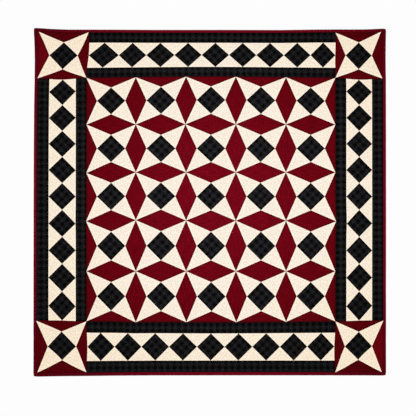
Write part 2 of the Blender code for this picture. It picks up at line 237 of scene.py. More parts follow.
# Hand stitches at the back of the binding: the seed of their uneven sewing, how far they stray, how slanted
# they are, half their reach across the folded edge, how far outside the pattern's edge and behind the fold
# they lie, and how much of the binding's thickness they come up to
HAND_SEED = 11
HAND_STRAY = 0.0003
HAND_SLANTS = (0.7, 1.2)
HAND_HALF = 0.0009
HAND_OUTSIDE = 0.0001
HAND_BEHIND = 0.0002
HAND_UP_TO = 0.96

# Binding across its run: how thick it stands at shares of its width, as shares of its half thickness, and
# the turns of its fold in degrees
Fold = namedtuple("Fold", "outward thick")
FRONT_FOLDS = (Fold(0.10, 0.80), Fold(0.24, 1.00), Fold(0.45, 1.07), Fold(0.70, 1.00))
BACK_FOLDS = (Fold(0.70, 1.00), Fold(0.45, 1.05), Fold(0.16, 1.00))
FOLD_TURNS = (18, 36, 54, 72, 90, 108, 126, 144, 162)

# Where a binding strip has its first sections, from its end
END_SECTIONS = (0.0, 0.0015, 0.0035, 0.0060)

# Points nearer than this are one point. Corners are rounded to a number of decimals, and points along the
# seams are told apart by one more
WELD = 0.00002
CORNER_DECIMALS = 6
POINT_DECIMALS = 7

# The binding's distance from a seam, past the allowance and the painted shade and highlight that show beside
# one
FAR_FROM_SEAM = 0.01

# Faces that meet more steeply than this keep an edge: the ditches do, the padding doesn't
DITCH_ANGLE = radians(20)

CLOTHS = ("cream", "red", "second red", "check", "backing")
FABRIC_MAP = "fabric"
SEAM_DISTANCE = "from_seam"

# One patch: its cloth, its outline, the point or line that it is padded up to, the direction of its threads,
# and where its check is cut, if that shows
Patch = namedtuple("Patch", "cloth outline core grain light_band", defaults=(None,))


def running(start, sizes):
    """The place of each line that a run of sizes draws, from a start."""
    return [start + sum(sizes[:count]) for count in range(len(sizes) + 1)]


COLUMN_WIDTHS = (sum(BORDER_STRIPS["left"]), *FIELD_COLUMNS, sum(BORDER_STRIPS["right"]))
ROW_HEIGHTS = (sum(BORDER_STRIPS["top"]), *FIELD_ROWS, sum(BORDER_STRIPS["bottom"]))
WHOLE_WIDTH = sum(COLUMN_WIDTHS) + BINDING_WIDTHS["left"] + BINDING_WIDTHS["right"]
WHOLE_HEIGHT = sum(ROW_HEIGHTS) + BINDING_WIDTHS["top"] + BINDING_WIDTHS["bottom"]
COLUMN_LINES = running(BINDING_WIDTHS["left"] - WHOLE_WIDTH / 2, COLUMN_WIDTHS)
ROW_LINES = [-down for down in running(BINDING_WIDTHS["top"], ROW_HEIGHTS)]
LEFT, RIGHT = COLUMN_LINES[0], COLUMN_LINES[-1]
TOP, BOTTOM = ROW_LINES[0], ROW_LINES[-1]


# How the flat hanging hangs


def nearness_to(place, x, z):
    """How much of a swell or pull each point takes: 1 at its middle, softly down to 0 at its rim."""
    off = np.hypot((x - place.x) / place.wide, (z + place.down) / place.high)
    return (1 + np.cos(pi * np.minimum(off, 1))) / 2


def hung(points):
    """Where points of the flat hanging are once it hangs."""
    x, y, z = np.asarray(points, float).T
    across, down = x / WHOLE_WIDTH + 0.5, -z / WHOLE_HEIGHT

    def outward(side, inwards, along):
        near = np.clip(1 - inwards / SWAY_REACH, 0, 1)
        sways = np.interp(along, [row.along for row in EDGE_SWAY], [getattr(row, side) for row in EDGE_SWAY])
        return near * near * (3 - 2 * near) * sways

    right = outward("right", RIGHT - x, down) - outward("left", x - LEFT, down)
    up = outward("top", TOP - z, across) - outward("bottom", z - BOTTOM, across)
    right += sum(pull.right * nearness_to(pull, x, z) for pull in PULLS)
    up += sum(pull.up * nearness_to(pull, x, z) for pull in PULLS)
    forward = sum(swell.forward * nearness_to(swell, x, z) for swell in SWELLS)
    return np.stack([x + right, y - forward, z + up], axis=1)


# The patches of the pieced top, drawn flat


def incentre(a, b, c):
    """The point inside a triangle that is equally far from its three sides."""
    corners = np.array([a, b, c])
    opposite = np.linalg.norm(np.roll(corners, -1, axis=0) - np.roll(corners, 1, axis=0), axis=1)
    return tuple(opposite @ corners / opposite.sum())


def middle_of(points):
    """The mean of a patch's corners."""
    return tuple(np.mean(points, axis=0))


def angle_of(start, end):
    """The direction from one point to another, which a patch's threads run along."""
    return float(np.arctan2(end[1] - start[1], end[0] - start[0]))


def block_points(column, row):
    """One block's corners from its top left, and its dark square's corners from the top one, clockwise."""
    left, right = COLUMN_LINES[column : column + 2]
    top, bottom = ROW_LINES[row : row + 2]
    x, z = (left + right) / 2, (top + bottom) / 2
    reach = CORNER_REACH if column in (0, len(COLUMN_WIDTHS) - 1) else FIELD_REACH
    reach_x, reach_z = reach.x * (right - left), reach.z * (top - bottom)
    corners = ((left, top), (right, top), (right, bottom), (left, bottom))
    tips = ((x, z + reach_z), (x + reach_x, z), (x, z - reach_z), (x - reach_x, z))
    return corners, tips


def star_block(column, row, blocks):
    """One star block: a dark square on point, four cream points, and the red pieces that are its to make.

    A red piece that two blocks share is one diamond, made by the block above it or left of it. On the side
    of a block that has no neighbour it is half of that, a triangle, and as much more as the cream points
    beside it stop short.
    """
    corners, tips = block_points(column, row)
    ends = list(corners)
    for inset in POINT_INSETS:
        if (inset.column, inset.row) == (column, row):
            x, z = corners[inset.corner]
            ends[inset.corner] = (x + inset.right, z - inset.down)
    patches = [Patch("check", tips, [middle_of(tips)], angle_of(tips[0], tips[1]))]
    for side, (right, down) in enumerate(((0, -1), (1, 0), (0, 1), (-1, 0))):
        start, end = corners[side], corners[(side + 1) % 4]
        point = (ends[side], tips[side], tips[side - 1])
        patches.append(Patch("cream", point, [incentre(*point)], angle_of(tips[side - 1], tips[side])))
        if (column + right, row + down) not in blocks:
            edge_piece = tuple(dict.fromkeys((start, end, ends[(side + 1) % 4], tips[side], ends[side])))
            core = [incentre(start, end, tips[side])]
            red = "second red" if (column, row, side) in SECOND_LOT else "red"
            patches.append(Patch(red, edge_piece, core, angle_of(start, end)))
        elif right + down > 0:
            far_tip = block_points(column + right, row + down)[1][(side + 2) % 4]
            diamond = (start, far_tip, end, tips[side])
            patches.append(Patch("red", diamond, [middle_of(diamond)], angle_of(start, end)))
    return patches


def border(side):
    """One border: two check strips, and between them nine check squares on point set in cream."""
    upright = side in ("left", "right")
    lengthwise = ROW_LINES if upright else COLUMN_LINES
    start, end = lengthwise[1], lengthwise[-2]
    edge, inward = {"left": (LEFT, 1), "right": (RIGHT, -1), "top": (TOP, -1), "bottom": (BOTTOM, 1)}[side]
    outer, upper, lower, inner = [edge + inward * run for run in running(0, BORDER_STRIPS[side])]
    middle = (upper + lower) / 2
    forth = 1 if end > start else -1

    def place(along, across):
        return (across, along) if upright else (along, across)

    patches = []
    for (first, last), light_band in zip(((outer, upper), (lower, inner)), LIGHT_BANDS[side]):
        inset = forth * abs(last - first) / 2
        spine = [place(start + inset, (first + last) / 2), place(end - inset, (first + last) / 2)]
        strip = (place(start, first), place(end, first), place(end, last), place(start, last))
        patches.append(Patch("check", strip, spine, angle_of(*spine), light_band))
    pitches = SQUARE_PITCHES[side]
    joins = [start + (end - start) * run / sum(pitches) for run in running(0, pitches)]
    tips = [(before + after) / 2 for before, after in zip(joins, joins[1:])]
    for before, tip, after in zip(joins, tips, joins[1:]):
        square = (place(before, middle), place(tip, upper), place(after, middle), place(tip, lower))
        patches.append(Patch("check", square, [middle_of(square)], angle_of(square[0], square[1])))
    ends = [joins[0], *tips, joins[-1]]
    for strip_edge in (upper, lower):
        for first, join, last in zip(ends, joins, ends[1:]):
            setting = (place(first, strip_edge), place(join, middle), place(last, strip_edge))
            patches.append(Patch("cream", setting, [incentre(*setting)], angle_of(setting[0], setting[2])))
    return patches


def pieced_top():
    """Every patch of the top."""
    patches = []
    last = len(COLUMN_WIDTHS) - 1
    places = [(column, row) for column in range(last + 1) for row in range(last + 1)]
    blocks = [(column, row) for column, row in places if (column in (0, last)) == (row in (0, last))]
    for column, row in blocks:
        patches += star_block(column, row, blocks)
    for side in BORDER_STRIPS:
        patches += border(side)
    return patches


def rim_pieces():
    """The flat strips of the sandwich that go into the binding, one for each run of the pattern's edge."""
    spared = BINDING_CLOTH + CLEARANCE + CORNER_RADIUS / 2
    reach = {side: width - spared for side, width in BINDING_WIDTHS.items()}
    xs = [LEFT - reach["left"], *COLUMN_LINES, RIGHT + reach["right"]]
    zs = [TOP + reach["top"], *ROW_LINES, BOTTOM - reach["bottom"]]
    outlines = []
    for column in range(len(xs) - 1):
        for row in range(len(zs) - 1):
            if column in (0, len(xs) - 2) or row in (0, len(zs) - 2):
                left, right = xs[column : column + 2]
                top, bottom = zs[row : row + 2]
                outlines.append([(left, top), (right, top), (right, bottom), (left, bottom)])
    return outlines


# Seams and the points along them


def key(point):
    """A point's name, the same in every patch that it is a corner of."""
    return (round(point[0], POINT_DECIMALS), round(point[1], POINT_DECIMALS))


def sides_of(outline):
    """The sides of an outline in order, each as its two ends."""
    return zip(outline, (*outline[1:], outline[0]))


def facing_front(outline):
    """The outline in the order that makes its face look along -Y."""
    area = sum(x0 * z1 - x1 * z0 for (x0, z0), (x1, z1) in sides_of(outline))
    return outline if area > 0 else outline[::-1]


def with_points_on_sides(outline, points):
    """An outline with every one of the points that lies on its sides added to it, in order."""
    full = []
    for start, end in zip(np.array(outline), np.roll(outline, -1, axis=0)):
        length = np.hypot(*(end - start))
        run_x, run_z = (end - start) / length
        off = points - start
        along = off @ (run_x, run_z)
        on_side = (abs(off @ (run_z, -run_x)) < WELD) & (along > WELD) & (along < length - WELD)
        order = np.argsort(along[on_side])
        full += [tuple(start), *(tuple(point) for point in points[on_side][order])]
    return full


def stepped(outline, step):
    """An outline with its sides cut into equal steps, the same for both patches that meet in a seam."""
    full = []
    for start, end in sides_of(outline):
        first, last = np.array(sorted((start, end)))
        count = max(1, round(np.hypot(*(last - first)) / step))
        points = [tuple(first + (last - first) * share / count) for share in range(1, count)]
        full += [start, *(points if start < end else reversed(points))]
    return full


def outlines_meeting(outlines):
    """The outlines facing front, each with the corners of its neighbours that lie on its sides."""
    rounded = [[tuple(round(place, CORNER_DECIMALS) for place in corner) for corner in outline]
               for outline in outlines]
    points = np.array(sorted({corner for outline in rounded for corner in outline}))
    return [with_points_on_sides(facing_front(outline), points) for outline in rounded]


def seam_runs(outlines):
    """Every straight run of seam between two patches, once, as its two ends."""
    sides, seams = set(), []
    for outline in outlines:
        for start, end in sides_of(outline):
            if (key(end), key(start)) in sides:
                seams.append((start, end))
            sides.add((key(start), key(end)))
    return seams


# Making meshes and pieces


class Draft:
    """A mesh while it is drawn: its points, how far each is from a seam, and its faces with their cloth."""

    def __init__(self):
        self.points, self.from_seam, self.named = [], [], {}
        self.faces, self.cloths, self.fabric = [], [], []

    def add_points(self, points, from_seam):
        """Adds points, and gives their numbers."""
        first = len(self.points)
        self.points += [tuple(point) for point in points]
        self.from_seam += list(from_seam)
        return list(range(first, len(self.points)))

    def seam_point(self, x, y, z):
        """The number of a point on a seam, which the patches on both sides of the seam share."""
        name = (*key((x, z)), y > 0)
        if name not in self.named:
            self.named[name] = self.add_points([(x, y, z)], [0.0])[0]
        return self.named[name]

    def add_face(self, corners, cloth, fabric):
        """Adds a face of a cloth, each of its corners with its place in the fabric."""
        self.faces.append(corners)
        self.cloths.append(CLOTHS.index(cloth))
        self.fabric += [fabric[corner] for corner in corners]

    def add_band(self, row, following, cloth, fabric, facing=-1):
        """A band of faces between two closed rows of points."""
        for (here, beside), (there, beyond) in zip(sides_of(row), sides_of(following)):
            self.add_face([here, beside, beyond, there][:: -facing], cloth, fabric)

    def to_object(self, name, materials):
        """The finished object, its points put where they hang."""
        mesh = bpy.data.meshes.new(name)
        mesh.from_pydata(hung(self.points).tolist(), [], self.faces)
        for material in materials:
            mesh.materials.append(material)
        mesh.polygons.foreach_set("material_index", self.cloths)
        fabric_map = mesh.uv_layers.new(name=FABRIC_MAP)
        fabric_map.uv.foreach_set("vector", np.array(self.fabric, np.float32).ravel())
        distance = mesh.attributes.new(SEAM_DISTANCE, "FLOAT", "POINT")
        distance.data.foreach_set("value", np.array(self.from_seam, np.float32))
        mesh.validate()
        mesh.shade_smooth()
        mesh.set_sharp_from_angle(angle=DITCH_ANGLE)
        piece = bpy.data.objects.new(name, mesh)
        bpy.context.scene.collection.objects.link(piece)
        return piece


def finished(piece, slot, *replaced):
    """A piece that hangs with the object and stands for the solids that it replaces. Its slot is not used.
    """
    if len(piece.data.vertices) == 0:
        raise RuntimeError(piece.name + " came out empty")
    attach(piece, "root")
    if replaced:
        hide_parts(*replaced)
    return piece


def padding(from_seam, sizes):
    """How far the padded cloth rises at a distance from its seam."""
    return sizes.padding_rise * (1 - np.exp(-from_seam / sizes.padding_softness))


def distances(points, outline):
    """How far each point inside an outline is from the nearest of its sides."""
    starts = np.array(outline)
    runs = np.roll(starts, -1, axis=0) - starts
    runs /= np.linalg.norm(runs, axis=1, keepdims=True)
    off = points[:, None] - starts[None]
    return abs(off[..., 0] * runs[:, 1] - off[..., 1] * runs[:, 0]).min(axis=1)


def humps(points, seed):
    """The uneven padding at points of the flat hanging, from -1 to 1."""
    return np.array([noise.noise(Vector((x / HUMP_SIZE, seed, z / HUMP_SIZE))) for x, z in points])


def nearest_of_core(points, core):
    """The place on a patch's core, a point or a line, that each of its points is drawn towards."""
    first, last = np.array(core[0]), np.array(core[-1])
    length = np.hypot(*(last - first))
    if length < WELD:
        return np.broadcast_to(first, points.shape)
    run = (last - first) / length
    along = np.clip((points - first) @ run, 0, length)
    return first + along[:, None] * run


def fabric_places(patch, flat, facing, sizes):
    """The cloth of one side of a patch, and where points of that side lie in it."""
    if facing > 0:
        return "backing", flat
    turn = np.array([[cos(patch.grain), -sin(patch.grain)], [sin(patch.grain), cos(patch.grain)]])
    cut_from = random.Random(str(key(patch.core[0])))
    start = [cut_from.uniform(0, sizes.check_pitch * CUT_REPEATS) for _ in range(2)]
    if patch.light_band is not None:
        start[1] = sizes.check_pitch / 4 - patch.light_band
    return patch.cloth, (flat - patch.core[0]) @ turn + start


def add_padded_patch(draft, patch, outline, facing, sizes):
    """One side of one patch: its seam, rings of points that rise from it, and a top at its core."""
    rings, share_of_padding = (FRONT_RINGS, 1) if facing < 0 else (BACK_RINGS, BACK_SHARE)
    rim = np.array(stepped(outline, sizes.seam_step))
    count = len(rim)
    core = nearest_of_core(rim, patch.core)
    layers = [rim + share * (core - rim) for share in rings]
    is_point = len(patch.core) == 1
    if is_point:
        layers.append(np.array(patch.core))
    flat = np.concatenate([rim, *layers])
    from_seam = np.concatenate([np.zeros(count), distances(flat[count:], patch.outline)])
    rise = padding(from_seam, sizes)
    rise += HUMP_DEPTH * (1 - np.exp(-from_seam / HUMP_START)) * humps(flat, facing)
    depth = facing * (SEAM_HALF + share_of_padding * rise)
    corners = [draft.seam_point(x, facing * SEAM_HALF, z) for x, z in rim]
    inside = np.stack([flat[:, 0], depth, flat[:, 1]], axis=1)[count:]
    corners += draft.add_points(inside, from_seam[count:])
    cloth, places = fabric_places(patch, flat, facing, sizes)
    fabric = dict(zip(corners, places.tolist()))

    rows = [corners[ring * count : (ring + 1) * count] for ring in range(len(rings) + 1)]
    for outer, inner in zip(rows, rows[1:]):
        draft.add_band(outer, inner, cloth, fabric, facing)
    tops = [(*side, corners[-1]) for side in sides_of(rows[-1])] if is_point else [rows[-1]]
    for top in tops:
        draft.add_face(top[:: -facing], cloth, fabric)


def add_rim(draft, outlines, sizes):
    """The flat edge of the sandwich inside the binding, front and back, and its raw edge between them."""
    sides = []
    for outline in outlines:
        points = stepped(outline, sizes.seam_step)
        for facing in (-1, 1):
            corners = [draft.seam_point(x, facing * SEAM_HALF, z) for x, z in points]
            draft.add_face(corners[:: -facing], "red", dict(zip(corners, points)))
        sides += sides_of(points)
    xs, zs = zip(*(start for start, _ in sides))
    limits = ((min(xs), max(xs)), (min(zs), max(zs)))
    for start, end in sides:
        on_raw_edge = any(start[axis] == end[axis] and start[axis] in limits[axis] for axis in (0, 1))
        if on_raw_edge:
            places = ((start, -1), (start, 1), (end, 1), (end, -1))
            corners = [draft.seam_point(x, facing * SEAM_HALF, z) for (x, z), facing in places]
            draft.add_face(corners, "red", {corner: (0.0, 0.0) for corner in corners})


def make_sandwich(sizes, colours):
    """Pieced top, batting and backing, quilted together: one sheet, closed all round."""
    patches = pieced_top()
    outlines = outlines_meeting([patch.outline for patch in patches] + rim_pieces())
    draft = Draft()
    for patch, outline in zip(patches, outlines):
        for facing in (-1, 1):
            add_padded_patch(draft, patch, outline, facing, sizes)
    add_rim(draft, outlines[len(patches):], sizes)
    materials = [
        muslin(colours, sizes),
        dyed_cotton("dyed_red_cotton", colours, sizes, DEEPER_RED),
        dyed_cotton("dyed_red_cotton_second_lot", colours, sizes, DEEPER_SECOND_RED),
        homespun_check(colours, sizes),
        backing_muslin(colours, sizes),
    ]
    piece = draft.to_object("quilted_sandwich", materials)
    return finished(piece, "pieced_cotton", "quilted_panel")


# Stitches: spindles of thread, joined in one mesh for each side

# Faces of a spindle: its points are one end, four round its middle, and the other end
SPINDLE_POINTS = 6
SPINDLE_FACES = ((0, 1, 2), (0, 2, 3), (0, 3, 4), (0, 4, 1), (5, 2, 1), (5, 3, 2), (5, 4, 3), (5, 1, 4))


def add_stitches(draft, places, sizes):
    """Adds spindles of thread, each from its middle, half its length, and which way is sideways and out."""
    middles, halves, sideways, out = (np.array(column, float) for column in zip(*places))
    thread = sizes.thread_width / 2
    round_middle = [middles + way * thread for way in (sideways, out, -sideways, -out)]
    points = np.stack([middles - halves, *round_middle, middles + halves], axis=1).reshape(-1, 3)
    draft.add_points(points, np.zeros(len(points)))
    for first in range(0, len(points), SPINDLE_POINTS):
        draft.faces += [[first + corner for corner in face] for face in SPINDLE_FACES]
    draft.cloths += [0] * len(draft.faces)
    draft.fabric += [(0.0, 0.0)] * 3 * len(draft.faces)


def make_ditch_stitches(facing, name, sizes, material):
    """The quilting stitches of one side, in the ditch of every seam."""
    seams = seam_runs(outlines_meeting([patch.outline for patch in pieced_top()]))
    sewing = random.Random(STITCH_SEED)
    pitch = sizes.stitch_length + sizes.stitch_gap
    depth = facing * (SEAM_HALF + sizes.thread_width * STITCH_OUT)
    places = []
    for start, end in seams:
        start, end = np.array(start), np.array(end)
        length = np.hypot(*(end - start))
        run = (end - start) / length
        count = int(length / pitch)
        for stitch in range(count):
            along = length * (stitch + 0.5) / count + sewing.uniform(-STITCH_STRAY, STITCH_STRAY)
            middle = start + run * along
            half = run * sizes.stitch_length / 2 * sewing.uniform(*STITCH_SHARES)
            stretch = [(middle[0], depth, middle[1]), (half[0], 0.0, half[1])]
            places.append([*stretch, (-run[1] * facing, 0.0, run[0] * facing), (0.0, facing, 0.0)])
    draft = Draft()
    add_stitches(draft, places, sizes)
    return finished(draft.to_object(name, [material]), "pieced_cotton")


# Binding


def side_of(side):
    """One side of the hanging: its line, which way is out, its lines across, and its neighbours' names."""
    upright = side in ("left", "right")
    edge = {"left": LEFT, "right": RIGHT, "top": TOP, "bottom": BOTTOM}[side]
    outward = 1 if side in ("right", "top") else -1
    lines = ROW_LINES if upright else COLUMN_LINES
    neighbours = ("top", "bottom") if upright else ("left", "right")
    return upright, edge, outward, lines, neighbours


def binding_section(width):
    """The folded strip across its run, front to back: outward and depth of each point, a closed outline."""
    slot = SEAM_HALF + CLEARANCE / 3
    front = [(-SEWN_OVER, -slot - CLEARANCE / 2)]
    front += [(fold.outward * width, -fold.thick * BINDING_HALF) for fold in FRONT_FOLDS]
    turned = [(width * (1 - FOLD_SHARE + FOLD_SHARE * sin(turn)), -BINDING_HALF * cos(turn))
              for turn in map(radians, FOLD_TURNS)]
    back = [(fold.outward * width, fold.thick * BINDING_HALF) for fold in BACK_FOLDS]
    folded_in = (CLEARANCE, BINDING_HALF - CLEARANCE)
    cut = width - BINDING_CLOTH
    inside = [(CLEARANCE, slot), (cut, slot), (cut, -slot), (CLEARANCE, -slot)]
    return [*front, *turned, *back, folded_in, *inside]


def corner_retreat(from_corner):
    """How far the rounded corner of the hanging stands back from its square one, at a place along a side."""
    inside = max(0.0, CORNER_RADIUS - from_corner)
    return CORNER_RADIUS - (CORNER_RADIUS**2 - inside**2) ** 0.5


def binding_places(start, end, step):
    """Where the binding has its sections, closer together near its ends."""
    length = abs(end - start)
    near = END_SECTIONS[-1]
    count = round((length - 2 * near) / step)
    middle = [near + (length - 2 * near) * share / count for share in range(1, count)]
    runs = [*END_SECTIONS, *middle, *(length - run for run in reversed(END_SECTIONS))]
    return [start + (end - start) * run / length for run in runs]


def make_binding_strip(side, sizes, material):
    """One strip of binding: its folded section along the side, mitred at both ends."""
    upright, edge, out, lines, (before, after) = side_of(side)
    width = BINDING_WIDTHS[side]
    section = binding_section(width)
    start, end = lines[0], lines[-1]
    forth = 1 if end > start else -1
    places = binding_places(start, end, sizes.seam_step)
    draft = Draft()
    rows = []
    for index, along in enumerate(places):
        # Which way is past the strip's end, at its two ends
        past_end = {0: -forth, len(places) - 1: forth}.get(index, 0)
        neighbour = BINDING_WIDTHS[before if index < len(places) / 2 else after]
        to_corner = neighbour + min(abs(along - start), abs(end - along))
        retreat = MITRE_RETREAT * CORNER_RADIUS if past_end else corner_retreat(to_corner)
        uneven = FOLD_UNEVEN * noise.noise(Vector((along * FOLD_WAVES, out, edge)))
        points = []
        for outward, depth in section:
            share = outward / width
            outward += uneven * share - retreat * max(0.0, share - KEPT_SHARE) / (1 - KEPT_SHARE)
            mitred = along + past_end * (outward / width * neighbour - MITRE_GAP)
            waves = np.multiply((along, out, share), LIFT_WAVES)
            depth *= 1 + LIFT_UNEVEN * noise.noise(Vector(waves))
            across = edge + out * outward
            points.append((across, depth, mitred) if upright else (mitred, depth, across))
        rows.append(draft.add_points(points, [FAR_FROM_SEAM] * len(points)))

    wrap = np.concatenate([[0], np.cumsum(np.linalg.norm(np.diff(section, axis=0), axis=1))])
    fabric = {corner: (float(turn), float(along))
              for along, row in zip(places, rows) for corner, turn in zip(row, wrap)}
    for row, following in zip(rows, rows[1:]):
        draft.add_band(row, following, "cream", fabric)
    draft.add_face(rows[0][::-1], "cream", fabric)
    draft.add_face(rows[-1], "cream", fabric)
    piece = draft.to_object("binding_fold_" + side, [material])
    turn_faces_out(piece.data)
    return finished(piece, "binding_cotton", "binding_" + side)


def turn_faces_out(mesh):
    """Makes every face of a closed mesh look outwards."""
    builder = bmesh.new()
    builder.from_mesh(mesh)
    bmesh.ops.recalc_face_normals(builder, faces=builder.faces)
    builder.to_mesh(mesh)
    builder.free()


def make_binding_stitches(sizes, material):
    """The hand stitches that hold the binding's folded edge to the backing: small and slanted."""
    sewing = random.Random(HAND_SEED)
    face = BINDING_HALF * HAND_UP_TO
    depth, half_depth = (face + SEAM_HALF) / 2 + HAND_BEHIND, -(face - SEAM_HALF) / 2
    places = []
    for side in BINDING_WIDTHS:
        upright, edge, out, lines, _ = side_of(side)
        start, length = lines[0], lines[-1] - lines[0]
        count = int(abs(length) / sizes.hand_stitch_pitch)
        for stitch in range(count):
            along = start + length * (stitch + 0.5) / count + sewing.uniform(-HAND_STRAY, HAND_STRAY)
            slant = HAND_HALF * sewing.uniform(*HAND_SLANTS)
            stretch = [(edge + out * HAND_OUTSIDE, depth, along), (-out * HAND_HALF, half_depth, slant)]
            along_side = [*stretch, (0.0, 0.0, 1.0), (0.0, 1.0, 0.0)]
            places.append(along_side if upright else [row[::-1] for row in along_side])
    draft = Draft()
    add_stitches(draft, places, sizes)
    return finished(draft.to_object("binding_hand_stitches", [material]), "binding_cotton")


# Materials

# Real threads are 0.4 mm apart in the muslin and 0.5 mm in the homespun. A pixel takes in about 3 mm, so the
# weave is drawn this many times coarser to show at all from a step away
DRAWN_COARSER = 2.7
MUSLIN_THREAD = 0.0004 * DRAWN_COARSER
HOMESPUN_THREAD = 0.0005 * DRAWN_COARSER
THREAD_RELIEF = 0.00006

# Thick and thin places in the yarn, drawn three times as wide as the real ones
YARN_WIDTH = 0.0015
YARN_LENGTH = 0.030

# Slubs, which lie both ways in the cloth, drawn about five times as wide as the real ones, and the sums of
# their two noises at which they begin and are full
SLUB_WIDTH = 0.0021
SLUB_LENGTH = 0.0048
SLUB_LIMITS = (0.72, 1.28)

# How far from its mean the noise of the yarn is counted in each cloth, and how much lighter or deeper it
# makes the cloth there
Yarn = namedtuple("Yarn", "reach spread")
MUSLIN_YARN = Yarn(0.20, 0.035)
RED_YARN = Yarn(0.25, 0.26)
BACKING_YARN = Yarn(0.20, 0.05)
BINDING_YARN = Yarn(0.25, 0.20)

# Homespun: where its charcoal bands begin and are full, on a wave from -1 to 1, and how light its slubs are
CHECK_BANDS = (-0.8, 0.9)
CHECK_SLUBS = (0.25, 1.75)

# Beside the seams of each cloth: how its colour is scaled there, as painted shade of the ditch in the red,
# the check and the backing and as a painted highlight over the whiter turned-in allowance in the muslin,
# how far the allowance turned in behind it lifts it, and how deep its gathers along the stitches are
BesideSeam = namedtuple("BesideSeam", "shade lift gathers")
MUSLIN_SEAM = BesideSeam(1.10, 0.0, 0.00035)
RED_SEAM = BesideSeam(0.68, 0.00018, 0.00035)
CHECK_SEAM = BesideSeam(0.42, 0.00018, 0.00035)
BACKING_SEAM = BesideSeam(0.94, 0.0, 0.00070)
BINDING_SEAM = BesideSeam(1.0, 0.0, 0.0)

# How softly the allowance ends, the size of the gathers, and the distances from a seam between which the
# gathers and the painted shade and highlight fade
ALLOWANCE_EDGE = 0.0012
GATHER_SIZE = 0.0070
GATHER_REACH = (0.001, 0.012)
SHADE_REACH = (0.0012, 0.0048)

# Middle of the painted light, brightest near the hanging's middle and falling off as painted shade towards
# its edges, and the distances from there between which the muslin and the red take on that painted shade,
# the red of the corners is deeper still, the check takes on its painted shade and the binding darkens
PAINTED_LIGHT_MIDDLE = (0.02, 0.0, -0.49)
CREAM_PAINTED_FALLOFF = (0.25, 0.75)
RED_PAINTED_FALLOFF = (0.06, 0.45)
CORNER_DEEPENING = (0.38, 0.70)
CHECK_PAINTED_FALLOFF = (0.15, 0.62)
BINDING_DEEPENING = (0.50, 0.76)

# How much of their lightness the two lots of red have at the corners, how much the check keeps there under
# its painted shade, and how much the binding has at the corners and between them
DEEPER_RED = 0.62
DEEPER_SECOND_RED = 1.0
CHECK_PAINTED_SHADE = 0.58
DEEPER_BINDING = 0.56
MID_BINDING = 1.06

# Matt finishes: roughness and specular level
Finish = namedtuple("Finish", "roughness specular")
WOVEN_COTTON = Finish(0.92, 0.01)
SPUN_COTTON = Finish(0.8, 0.05)
EMULSION = Finish(0.9, 0.1)

# Sewing thread: the size and relief of its twist, and how light its grooves are painted, as painted shade in
# them
TWIST_SIZE = 0.0004
TWIST_RELIEF = 0.00008
TWIST_GROOVE_SHADE = 0.7

# Emulsion paint of the floor: its roller stipple, 2 mm on a real board and drawn about eight times as coarse
# to show at all, and its two shades: its hollows in painted shade, its raised points in painted light
STIPPLE_SIZE = 1 / 60
STIPPLE_SHADES = ("#F3F2F0", "#F6F5F3")

# Settings that many nodes share
ADD = {"operation": "ADD"}
MULTIPLY = {"operation": "MULTIPLY"}
MULTIPLY_ADD = {"operation": "MULTIPLY_ADD"}
SCALE = {"operation": "SCALE"}
SINE = {"operation": "SINE"}
SOFT_STEP = {"interpolation_type": "SMOOTHSTEP"}
FLAT_NOISE = {"noise_dimensions": "2D"}


def linear(hex_colour):
    """An sRGB hex colour as linear red, green and blue."""
    parts = [int(hex_colour[k : k + 2], 16) / 255 for k in (1, 3, 5)]
    return tuple(part / 12.92 if part <= 0.04045 else ((part + 0.055) / 1.055) ** 2.4 for part in parts)


def rgba(colour):
    """A colour that lets nothing through."""
    return (*colour, 1.0)


def add_node(tree, kind, settings=None, inputs=None):
    """Adds a node of a kind with its settings. An input takes a value, or a link from a node or a socket."""
    node = tree.nodes.new("ShaderNode" + kind)
    for name, value in (settings or {}).items():
        setattr(node, name, value)
    for name, value in (inputs or {}).items():
        if isinstance(value, bpy.types.Node):
            value = value.outputs[0]
        if isinstance(value, bpy.types.NodeSocket):
            tree.links.new(value, node.inputs[name])
        else:
            node.inputs[name].default_value = value
    return node


def new_material(name):
    """A new material and its node tree."""
    material = bpy.data.materials.new(name)
    material.use_nodes = True
    return material, material.node_tree


def dress_surface(tree, colour, finish, bump=None):
    """Gives the material's surface its colour, its finish and its relief."""
    surface = tree.nodes["Principled BSDF"]
    tree.links.new(colour.outputs[0], surface.inputs["Base Color"])
    if bump is not None:
        tree.links.new(bump.outputs["Normal"], surface.inputs["Normal"])
    surface.inputs["Roughness"].default_value = finish.roughness
    surface.inputs["Specular IOR Level"].default_value = finish.specular


def weave_height(tree, fabric, thread):
    """Over-and-under relief of a plain weave, from 0 to 1, its threads a given width apart."""
    apart = add_node(tree, "SeparateXYZ", None, {0: fabric})
    waves = []
    for axis in ("X", "Y"):
        turns = add_node(tree, "Math", MULTIPLY, {0: apart.outputs[axis], 1: pi / thread})
        waves.append(add_node(tree, "Math", SINE, {0: turns}))
    crossed = add_node(tree, "Math", MULTIPLY, {0: waves[0], 1: waves[1]})
    return add_node(tree, "Math", MULTIPLY_ADD, {0: crossed, 1: 0.5, 2: 0.5})


def streaks(tree, fabric, across, along):
    """Cloudy streaks of a given size across and along the warp, from 0 to 1, for thick and thin yarn."""
    stretched = add_node(tree, "Mapping", None, {"Vector": fabric, "Scale": (1 / along, 1 / across, 1.0)})
    return add_node(tree, "TexNoise", FLAT_NOISE, {"Vector": stretched, "Scale": 1.0, "Detail": 2.0})


def slubs_both_ways(tree, fabric):
    """Short slubs along the warp and along the weft, from 0 to 1."""
    warp = streaks(tree, fabric, SLUB_WIDTH, SLUB_LENGTH)
    weft = streaks(tree, fabric, SLUB_LENGTH, SLUB_WIDTH)
    both = add_node(tree, "Math", ADD, {0: warp, 1: weft})
    return add_node(tree, "MapRange", SOFT_STEP,
                    {"Value": both, "From Min": SLUB_LIMITS[0], "From Max": SLUB_LIMITS[1]})


